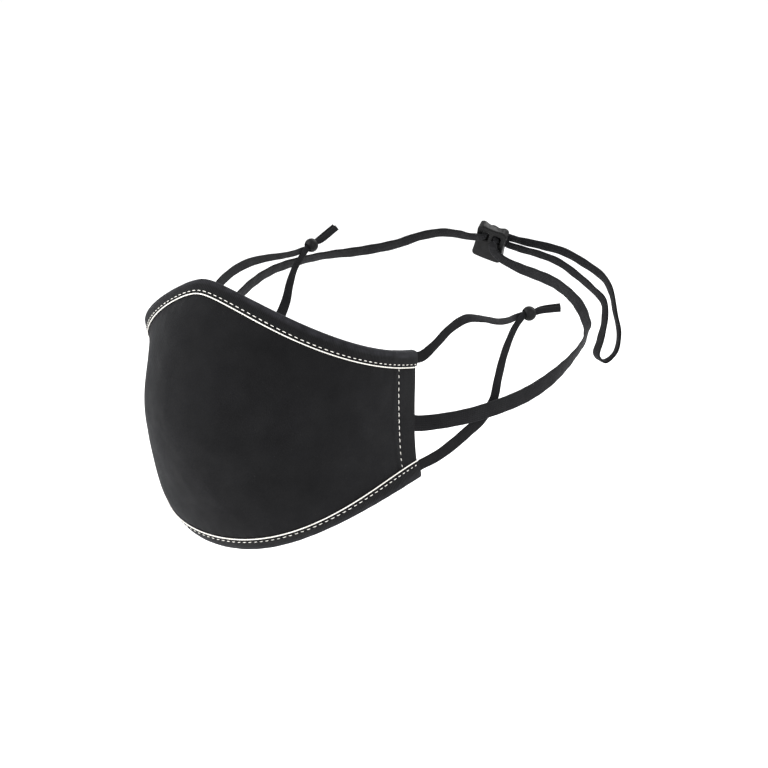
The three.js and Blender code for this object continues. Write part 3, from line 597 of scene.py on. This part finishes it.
def model_stitch():
    """One stitch as it lies on cloth: a thread's length that rises a little and dips in at its ends.
    It is one unit long, thick and high, along X, with the cloth at nought."""
    bpy.ops.object.select_all(action="DESELECT")
    bpy.ops.mesh.primitive_uv_sphere_add(segments=8, ring_count=7, radius=0.5, rotation=(0, math.pi / 2, 0))
    stitch = bpy.context.object
    apply_place(stitch)
    points = np.array([v.co for v in stitch.data.vertices])
    faces = [list(polygon.vertices) for polygon in stitch.data.polygons]
    bpy.data.objects.remove(stitch)
    x = np.clip(2 * points[:, 0], -1, 1)
    blunter = np.sqrt(1 - x ** 4) / np.maximum(np.sqrt(1 - x ** 2), 0.35)
    points[:, 1:] *= blunter[:, None]
    points[:, 2] += STITCH_CURVE["crown"] - STITCH_CURVE["dip"] * x ** 2
    return points, faces


STITCH_POINTS, STITCH_FACES = model_stitch()


def sew(name, middles, along, out, material):
    """Copies the stitch to each place of a row, as one piece."""
    along = unit(along)
    out = unit(out - along * np.sum(out * along, axis=-1, keepdims=True))
    across = np.cross(out, along)
    axes = np.stack([along * STITCH["length"], across * STITCH["thick"], out * STITCH["thick"]], axis=1)
    points = middles[:, None, :] + STITCH_POINTS @ axes
    starts = range(0, len(middles) * len(STITCH_POINTS), len(STITCH_POINTS))
    faces = [[corner + start for corner in face] for start in starts for face in STITCH_FACES]
    mesh = bpy.data.meshes.new(name)
    mesh.from_pydata((points.reshape(-1, 3) * MM).tolist(), [], faces)
    mesh.polygons.foreach_set("use_smooth", [True] * len(mesh.polygons))
    mesh.update()
    piece = bpy.data.objects.new(name, mesh)
    bpy.context.collection.objects.link(piece)
    return finish(piece, material, "thread")


def read_along(stops, lengths, values):
    """Rows of x, y, z values, read at stops along their lengths."""
    return np.stack([np.interp(stops, lengths, column) for column in values.T], axis=-1)


def sewn_row(name, path, normals, margin, material):
    """Stitches at an even pitch along a path that lies on cloth, facing along its normals."""
    lengths = round_lengths(path)
    count = int((lengths[-1] - 2 * margin) // STITCH["pitch"])
    stops = (lengths[-1] - count * STITCH["pitch"]) / 2 + STITCH["pitch"] * np.arange(count + 1)
    along = read_along(stops + 0.5, lengths, path) - read_along(stops - 0.5, lengths, path)
    return sew(name, read_along(stops, lengths, path), along, read_along(stops, lengths, normals), material)


def edge_stitches(edge, from_chin, face, material):
    """The row of stitches that holds a binding's leg, seen from outside or from inside."""
    phi = np.linspace(-math.pi / 2, math.pi / 2, STITCH_PATH["edge"])
    sign = -1 if face == "inside" else 1
    down = np.full((len(phi), 1), BINDING["width"] - EDGE_ROW[edge])
    skin = GAP + BINDING["skin"]
    out = -(thickness_at(phi)[:, None] + skin) if face == "inside" else np.full((len(phi), 1), skin)
    path = on_cup(phi, down, out - sign * STITCH["sunk"], from_chin)[:, 0]
    above = on_cup(phi, down, out + sign, from_chin)[:, 0]
    return sewn_row(f"{edge}_stitches_{face}", path, above - path, STITCH["pitch"] / 2, material)


def side_stitches(name, side, face, material):
    """The upright row of stitches that holds a side hem."""
    near_side = np.array([side * NEAR_SIDE])
    ends = [height_at(near_side, np.full((1, 1), SEAM), chin)[0, 0] for chin in (False, True)]
    v = np.linspace(*ends, STITCH_PATH["side"])
    phi = side * (math.pi / 2 - side_row_turn(v))
    sign = -1 if face == "inside" else 1
    depth = -thickness_at(phi) if face == "inside" else np.zeros_like(phi)
    normals = cup_normal(phi, v)
    path = cup(phi, v) + normals * (depth - sign * STITCH["sunk"])[:, None]
    return sewn_row(f"{name}_hem_stitches_{face}", path, sign * normals, STITCH["pitch"] / 4, material)


# ---- bands -----------------------------------------------------------------------------------


def slider_matrix():
    """Where the slider sits: x across, y back and z up in its own axes."""
    lean, roll, turn = (math.radians(SLIDER[name]) for name in ("lean", "roll", "turn"))
    rotation = Matrix.Rotation(turn, 3, "Z") @ Matrix.Rotation(lean, 3, "X") @ Matrix.Rotation(roll, 3, "Y")
    return np.array(rotation), np.array(SLIDER["place"])


def free_rows(rows, turned=False):
    """A table's places, looks and widths, in the mask's axes."""
    places = np.stack([rows["x"], rows["y"], rows["z"]], axis=-1)
    looks = np.stack([rows["lookX"], rows["lookY"], rows["lookZ"]], axis=-1)
    if turned:
        rotation, offset = slider_matrix()
        places, looks = places @ rotation.T + offset, looks @ rotation.T
    return places, looks, rows["width"]


def sewn_rows(rows, side, from_chin=False, reverse=False):
    """A sewn end's rows, laid against the inside of the cup."""
    phi = side * np.radians(rows["angle"])
    places = on_cup(phi, rows["down"][:, None], -rows["deep"][:, None], from_chin)[:, 0]
    looks = cup_normal(phi, height_at(phi, rows["down"][:, None], from_chin)[:, 0])
    order = slice(None, None, -1 if reverse else 1)
    return places[order], looks[order], rows["width"][order]


def blended(values, t, centripetal):
    """A smooth curve through rows of values, read at t, which counts rows. A centripetal one keeps
    its bends tight where rows lie close together."""
    values = np.concatenate([[2 * values[0] - values[1]], values, [2 * values[-1] - values[-2]]])
    span = np.clip(np.floor(t).astype(int), 0, len(values) - 4)
    s = (t - span)[:, None]
    a, b, c, d = (values[span + k] for k in range(4))
    if centripetal:
        first, second, third = (np.sqrt(np.linalg.norm(q - p, axis=-1, keepdims=True))
                                for p, q in ((a, b), (b, c), (c, d)))
        leave = ((b - a) / first - (c - a) / (first + second) + (c - b) / second) * second
        arrive = ((c - b) / second - (d - b) / (second + third) + (d - c) / third) * second
    else:
        leave, arrive = (c - a) / 2, (d - b) / 2
    return (b + s * leave + s ** 2 * (3 * (c - b) - 2 * leave - arrive)
            + s ** 3 * (2 * (b - c) + leave + arrive))


def band(name, parts, elastic, material, node):
    """A flat elastic with soft round edges along its rows. Where it is drawn in narrower than it
    lies flat it bunches thicker, and its edges wave a little. uv runs across it and along it."""
    places, looks, widths = (np.concatenate(column) for column in zip(*parts))
    t = np.linspace(0, len(places) - 1, (len(places) - 1) * BAND_MESH["steps_a_row"] + 1)
    middle = blended(places, t, True)
    along = unit(np.gradient(middle, axis=0))
    look = blended(unit(looks), t, False)
    look = unit(look - along * np.sum(look * along, axis=-1, keepdims=True))
    across = np.cross(along, look)
    width = blended(widths[:, None], t, False)
    lengths = round_lengths(middle)[:, None]
    turn = np.linspace(0, math.pi, BAND_MESH["half_round"])
    reach = np.sign(np.cos(turn)) * np.abs(np.cos(turn)) ** BAND_SECTION["corner"]
    rise = np.maximum(np.clip(np.sin(turn), 0, 1) ** BAND_SECTION["round"], BAND_SECTION["least"])
    flat_reach = reach * widths.max() / 2
    ribs = BAND_SECTION["rib_height"] * np.cos(2 * math.pi * flat_reach / elastic["rib"]) * (rise > 0.5)
    swell = elastic["thick"] / 2 * rise * (1 + BAND_SECTION["bunching"] * (1 - width / widths.max()))
    wave = elastic["wave"] * np.sin(2 * math.pi * lengths / BAND_SECTION["wave_length"]) * reach ** 3
    sideways = middle[:, None] + across[:, None] * (reach * width / 2)[..., None]
    front = sideways + look[:, None] * (swell + ribs + wave)[..., None]
    back = sideways - look[:, None] * (swell + ribs - wave)[..., None]
    rings = np.concatenate([front, back[:, ::-1]], axis=1)
    uv = np.stack(np.broadcast_arrays(flat_reach[None, :], lengths), axis=-1) * MM
    piece = piece_from_rings(name, rings, np.concatenate([uv, uv[:, ::-1]], axis=1))
    smooth_by_angle(piece, 60)
    return finish(piece, material, "elastic", node)


# ---- hardware --------------------------------------------------------------------------------


def ear_bead(name, place, along, material, node):
    """A moulded rubber bead, bored through for the two elastics, with a soft lip at each mouth."""
    bpy.ops.object.select_all(action="DESELECT")
    bpy.ops.mesh.primitive_uv_sphere_add(segments=40, ring_count=28, radius=BEAD["radius"] * MM)
    bead = bpy.context.object
    bead.name = name
    bpy.ops.object.mode_set(mode="EDIT")
    bpy.ops.mesh.select_all(action="DESELECT")
    bpy.ops.object.mode_set(mode="OBJECT")
    for vertex in bead.data.vertices:
        vertex.select = math.hypot(vertex.co.x, vertex.co.y) < BEAD["bore"] * MM
    bpy.ops.object.mode_set(mode="EDIT")
    bpy.ops.mesh.select_mode(type="VERT")
    bpy.ops.mesh.delete(type="VERT")
    bpy.ops.mesh.select_all(action="SELECT")
    bpy.ops.mesh.region_to_loop()
    bpy.ops.mesh.bridge_edge_loops(number_cuts=6)
    bpy.ops.mesh.select_all(action="SELECT")
    bpy.ops.mesh.normals_make_consistent(inside=False)
    bpy.ops.object.mode_set(mode="OBJECT")
    lip = bead.modifiers.new("lip", "BEVEL")
    lip.width, lip.segments, lip.limit_method = BEAD["lip"] * MM, 3, "ANGLE"
    lip.angle_limit = math.radians(45)
    apply_modifiers(bead)
    bead.rotation_euler = Vector(along).to_track_quat("Z", "Y").to_euler()
    bead.location = Vector(place) * MM
    apply_place(bead)
    smooth_by_angle(bead, 60)
    return finish(bead, material, "soft_rubber", node)


def strap_slider(material):
    """The two-slot slider, with every edge rounded over as soft moulded rubber leaves its mould."""
    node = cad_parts["strap_slider"]
    slider = bpy.data.objects.new("rounded_slider", node.data.copy())
    bpy.context.collection.objects.link(slider)
    active_only(slider)
    bpy.ops.object.mode_set(mode="EDIT")
    bpy.ops.mesh.select_all(action="SELECT")
    bpy.ops.mesh.remove_doubles(threshold=0.01 * MM)
    bpy.ops.object.mode_set(mode="OBJECT")
    even = slider.modifiers.new("even", "REMESH")
    even.mode, even.voxel_size = "VOXEL", 0.22 * MM
    soft = slider.modifiers.new("soft", "SMOOTH")
    soft.factor, soft.iterations = 0.5, 5
    apply_modifiers(slider)
    smooth_by_angle(slider, 60)
    return finish(slider, material, "soft_rubber", "strap_slider")


# ---- materials -------------------------------------------------------------------------------


def linear(code, alpha=1.0):
    """An sRGB hex colour as linear red, green, blue and alpha."""
    channels = [int(code[k:k + 2], 16) / 255 for k in (1, 3, 5)]
    return [c / 12.92 if c <= 0.04045 else ((c + 0.055) / 1.055) ** 2.4 for c in channels] + [alpha]


def add(tree, kind, inputs=None, **settings):
    """Adds a node with its settings. Each input is a value, or another node's output to link."""
    node = tree.nodes.new(kind)
    for name, value in settings.items():
        setattr(node, name, value)
    for name, value in (inputs or {}).items():
        if isinstance(value, bpy.types.NodeSocket):
            tree.links.new(value, node.inputs[name])
        else:
            node.inputs[name].default_value = value
    return node


def begin(name):
    """A new material's tree and its shader."""
    material = bpy.data.materials.new(name)
    material.use_nodes = True
    return material, material.node_tree, material.node_tree.nodes["Principled BSDF"]


def waves(tree, value, pitch):
    """A sine that crosses nought once for each thread of this pitch, in metres."""
    turned = add(tree, "ShaderNodeMath", {0: value, 1: math.pi / pitch}, operation="MULTIPLY")
    return add(tree, "ShaderNodeMath", {0: turned.outputs[0]}, operation="SINE").outputs[0]


def combine(tree, operation, first, second=0.0):
    return add(tree, "ShaderNodeMath", {0: first, 1: second}, operation=operation).outputs[0]


def cloth_axes(tree):
    """The two directions of a piece's own cloth, in metres."""
    coordinates = add(tree, "ShaderNodeUVMap", uv_map="cloth")
    split = add(tree, "ShaderNodeSeparateXYZ", {0: coordinates.outputs[0]})
    return split.outputs[0], split.outputs[1]


def uneven(tree, scale, low, high, detail=3.0):
    """A value that drifts between low and high over the piece."""
    coordinates = add(tree, "ShaderNodeTexCoord")
    noise = add(tree, "ShaderNodeTexNoise",
                {"Vector": coordinates.outputs["Object"], "Scale": scale, "Detail": detail})
    spread = add(tree, "ShaderNodeMapRange",
                 {"Value": noise.outputs[0], "From Min": 0.3, "From Max": 0.7, "To Min": low, "To Max": high})
    return spread.outputs[0]


def mixed(tree, factor, first, second):
    """A colour between two, given as hex codes or as outputs."""
    first, second = (linear(c) if isinstance(c, str) else c for c in (first, second))
    node = add(tree, "ShaderNodeMix", {0: factor, 6: first, 7: second}, data_type="RGBA")
    return node.outputs[2]


def cloth_finish(tree, shader, colour, height, depth, roughness, sheen):
    """Links a cloth's colour and height, and sets the nap that catches light at its edges."""
    bump = add(tree, "ShaderNodeBump", {"Height": height, "Strength": 0.8, "Distance": depth})
    tree.links.new(bump.outputs[0], shader.inputs["Normal"])
    tree.links.new(colour, shader.inputs["Base Color"])
    tree.links.new(roughness, shader.inputs["Roughness"])
    shader.inputs["IOR"].default_value = 1.5
    shader.inputs["Specular IOR Level"].default_value = 0.14
    shader.inputs["Sheen Weight"].default_value = sheen
    shader.inputs["Sheen Roughness"].default_value = 0.45
    shader.inputs["Sheen Tint"].default_value = linear("#b9bcc4")


def polyester_interlock():
    """Close-knit polyester face cloth, dyed black and heat-moulded: matt, with a fine grain. Its
    loops are 0.5 mm apart, drawn 1.1 mm apart so that they show, and wander a little under a nap."""
    material, tree, shader = begin("polyester_interlock_moulded")
    across, down = (combine(tree, "ADD", axis, uneven(tree, 800, -0.45 * MM, 0.45 * MM))
                    for axis in cloth_axes(tree))
    warp, weft = waves(tree, across, 1.1 * MM), waves(tree, down, 1.1 * MM)
    over = combine(tree, "GREATER_THAN", combine(tree, "MULTIPLY", warp, weft), 0.0)
    ridge, furrow = combine(tree, "ABSOLUTE", warp), combine(tree, "ABSOLUTE", weft)
    grain = add(tree, "ShaderNodeMix", {0: over, 2: ridge, 3: furrow}).outputs[0]
    nap = uneven(tree, 2600, 0.0, 0.8, 2.0)
    height = combine(tree, "ADD", combine(tree, "MULTIPLY", grain, 0.6), nap)
    tone = combine(tree, "ADD", combine(tree, "MULTIPLY", grain, 0.2), uneven(tree, 38, 0.0, 0.4))
    colour = mixed(tree, tone, "#080809", "#151517")
    cloth_finish(tree, shader, colour, height, 0.00010, uneven(tree, 90, 0.80, 0.93), 0.06)
    return material


def ribbed_binding_tape():
    """Woven binding tape, dyed black: fine ribs run across it, and its folded crest is rubbed a
    shade greyer. The ribs are drawn 0.9 mm apart, twice their real pitch, so that they show."""
    material, tree, shader = begin("ribbed_binding_tape_woven")
    across, along = cloth_axes(tree)
    ribs = combine(tree, "ABSOLUTE", waves(tree, along, 0.9 * MM))
    fine = combine(tree, "MULTIPLY", combine(tree, "ABSOLUTE", waves(tree, across, 0.5 * MM)), 0.35)
    height = combine(tree, "ADD", ribs, fine)
    crest = add(tree, "ShaderNodeMapRange", {"Value": combine(tree, "ABSOLUTE", across), "From Min": 0.0,
                                             "From Max": 2.2 * MM, "To Min": 0.75, "To Max": 0.0})
    wear = combine(tree, "MULTIPLY", crest.outputs[0], uneven(tree, 210, 0.2, 1.0))
    base = mixed(tree, combine(tree, "MULTIPLY", ribs, 0.5), "#070708", "#121214")
    colour = mixed(tree, wear, base, "#26262a")
    cloth_finish(tree, shader, colour, height, 0.00018, uneven(tree, 120, 0.74, 0.88), 0.06)
    return material


def knitted_elastic(name, elastic):
    """Soft knitted elastic, dyed black: raised ribs along it, with the small slanting loops of each
    course between them. The loops are drawn a little over their real size."""
    material, tree, shader = begin(name)
    across, along = cloth_axes(tree)
    ribs = combine(tree, "ABSOLUTE", waves(tree, across, elastic["rib"] * MM))
    course = elastic["course"] * MM
    slant = combine(tree, "ADD", along, combine(tree, "MULTIPLY", ribs, 0.45 * course))
    loops = combine(tree, "ABSOLUTE", waves(tree, slant, course))
    height = combine(tree, "ADD", combine(tree, "MULTIPLY", ribs, 0.8), combine(tree, "MULTIPLY", loops, 0.5))
    tone = combine(tree, "ADD", combine(tree, "MULTIPLY", height, 0.4), uneven(tree, 160, 0.0, 0.35))
    colour = mixed(tree, tone, "#080809", "#171719")
    cloth_finish(tree, shader, colour, height, 0.00022, uneven(tree, 140, 0.74, 0.90), 0.07)
    return material


def sewing_thread():
    """Off-white polyester sewing thread, spun and twisted: slightly glossy, shaded between plies."""
    material, tree, shader = begin("polyester_thread_spun")
    tone = uneven(tree, 900, 0.0, 1.0)
    colour = mixed(tree, tone, "#f7f5f0", "#dcd8ce")
    bump = add(tree, "ShaderNodeBump", {"Height": uneven(tree, 3200, 0.0, 1.0), "Strength": 0.5,
                                        "Distance": 0.00006})
    tree.links.new(bump.outputs[0], shader.inputs["Normal"])
    tree.links.new(colour, shader.inputs["Base Color"])
    shader.inputs["Roughness"].default_value = 0.55
    shader.inputs["IOR"].default_value = 1.55
    shader.inputs["Sheen Weight"].default_value = 0.15
    return material


def moulded_silicone():
    """Black silicone rubber, moulded in an etched mould: dull, with a faint grain and soft lights."""
    material, tree, shader = begin("silicone_rubber_moulded")
    grain = uneven(tree, 1500, 0.0, 1.0, 4.0)
    colour = mixed(tree, uneven(tree, 120, 0.0, 1.0), "#060606", "#0c0c0d")
    bump = add(tree, "ShaderNodeBump", {"Height": grain, "Strength": 0.35, "Distance": 0.00008})
    tree.links.new(bump.outputs[0], shader.inputs["Normal"])
    tree.links.new(colour, shader.inputs["Base Color"])
    tree.links.new(uneven(tree, 300, 0.48, 0.64), shader.inputs["Roughness"])
    shader.inputs["IOR"].default_value = 1.41
    shader.inputs["Specular IOR Level"].default_value = 0.22
    return material


def studio_paper():
    """Pale seamless background paper, matt."""
    material, tree, shader = begin("background_paper_matt")
    tree.links.new(mixed(tree, uneven(tree, 6, 0.0, 1.0), "#fcfcfc", "#fafafa"), shader.inputs["Base Color"])
    shader.inputs["Roughness"].default_value = 0.9
    return material


# ---- the studio ------------------------------------------------------------------------------


def backdrop():
    """A wide pale floor that runs out of sight on every side."""
    floor_height = CAD_BOX[0][2] - 0.055
    bpy.ops.object.select_all(action="DESELECT")
    bpy.ops.mesh.primitive_plane_add(size=120.0, location=(0, 0, floor_height))
    floor = bpy.context.object
    floor.name = "backdrop"
    floor.data.materials.append(studio_paper())


def soft_light(name, place, size, power, colour="#ffffff"):
    """A square soft box turned towards the mask."""
    box = bpy.data.lights.new(name, "AREA")
    box.size, box.energy, box.color = size, power, linear(colour)[:3]
    light = bpy.data.objects.new(name, box)
    light.location = place
    light.rotation_euler = (Vector(place) - Vector(VIEW["aim"])).to_track_quat("Z", "Y").to_euler()
    bpy.context.collection.objects.link(light)


def lighting():
    """A large key from the upper left, a fill from the right and a rim light from behind."""
    soft_light("key", (-0.9, -1.3, 1.2), 0.9, 34)
    soft_light("fill", (1.7, -0.7, 0.5), 1.2, 14)
    soft_light("rim", (0.2, 1.6, 1.4), 1.2, 26)
    world = bpy.data.worlds.new("studio")
    world.use_nodes = True
    world.node_tree.nodes["Background"].inputs[0].default_value = linear("#ffffff")
    world.node_tree.nodes["Background"].inputs[1].default_value = 1.05
    bpy.context.scene.world = world
    bpy.context.scene.view_settings.view_transform = "Standard"


# ---- the mask --------------------------------------------------------------------------------

face_cloth = polyester_interlock()
binding_tape = ribbed_binding_tape()
thread = sewing_thread()
ear_elastic = knitted_elastic("elastic_knitted_narrow", EAR_ELASTIC)
strap_elastic = knitted_elastic("elastic_knitted_wide", NECK_STRAP)
rubber = moulded_silicone()

cup_piece = face_cup(face_cloth)
for edge, from_chin, length in (("top", False, 0.253), ("bottom", True, 0.220)):
    tape = edge_binding(edge, from_chin, binding_tape)
    seam_cord(f"{edge}_seam_cord", from_chin, thread, f"{edge}_seam_piping")
    for face in ("outside", "inside"):
        edge_stitches(edge, from_chin, face, thread)
for name, side in (("left", 1), ("right", -1)):
    for face in ("outside", "inside"):
        side_stitches(name, side, face, thread)

EARS = {
    "ear_band_left_upper": (EAR_LEFT_UPPER, UPPER_SEWN, 1, False),
    "ear_band_left_lower": (EAR_LEFT_LOWER, LOWER_SEWN, 1, True),
    "ear_band_right_upper": (EAR_RIGHT_UPPER, UPPER_SEWN, -1, False),
    "ear_band_right_lower": (EAR_RIGHT_LOWER, LOWER_SEWN, -1, True),
}
for node, (rows, sewn, side, from_chin) in EARS.items():
    parts = [sewn_rows(sewn, side, from_chin), free_rows(rows)]
    band(node.replace("ear_band", "ear_elastic"), parts, EAR_ELASTIC, ear_elastic, node)
for side, seat in EAR_BEADS.items():
    ear_bead(f"rubber_bead_{side}", seat["place"], seat["along"], rubber, f"ear_bead_{side}")

band("neck_elastic", [
    sewn_rows(NECK_SEWN, -1),
    free_rows(NECK_RIGHT),
    free_rows(NECK_SLIDER_IN, turned=True),
    free_rows(NECK_LOOP),
    free_rows(NECK_SLIDER_OUT, turned=True),
    free_rows(NECK_LEFT),
    sewn_rows(NECK_SEWN, 1, reverse=True),
], NECK_STRAP, strap_elastic, "neck_strap")
strap_slider(rubber)

backdrop()
lighting()
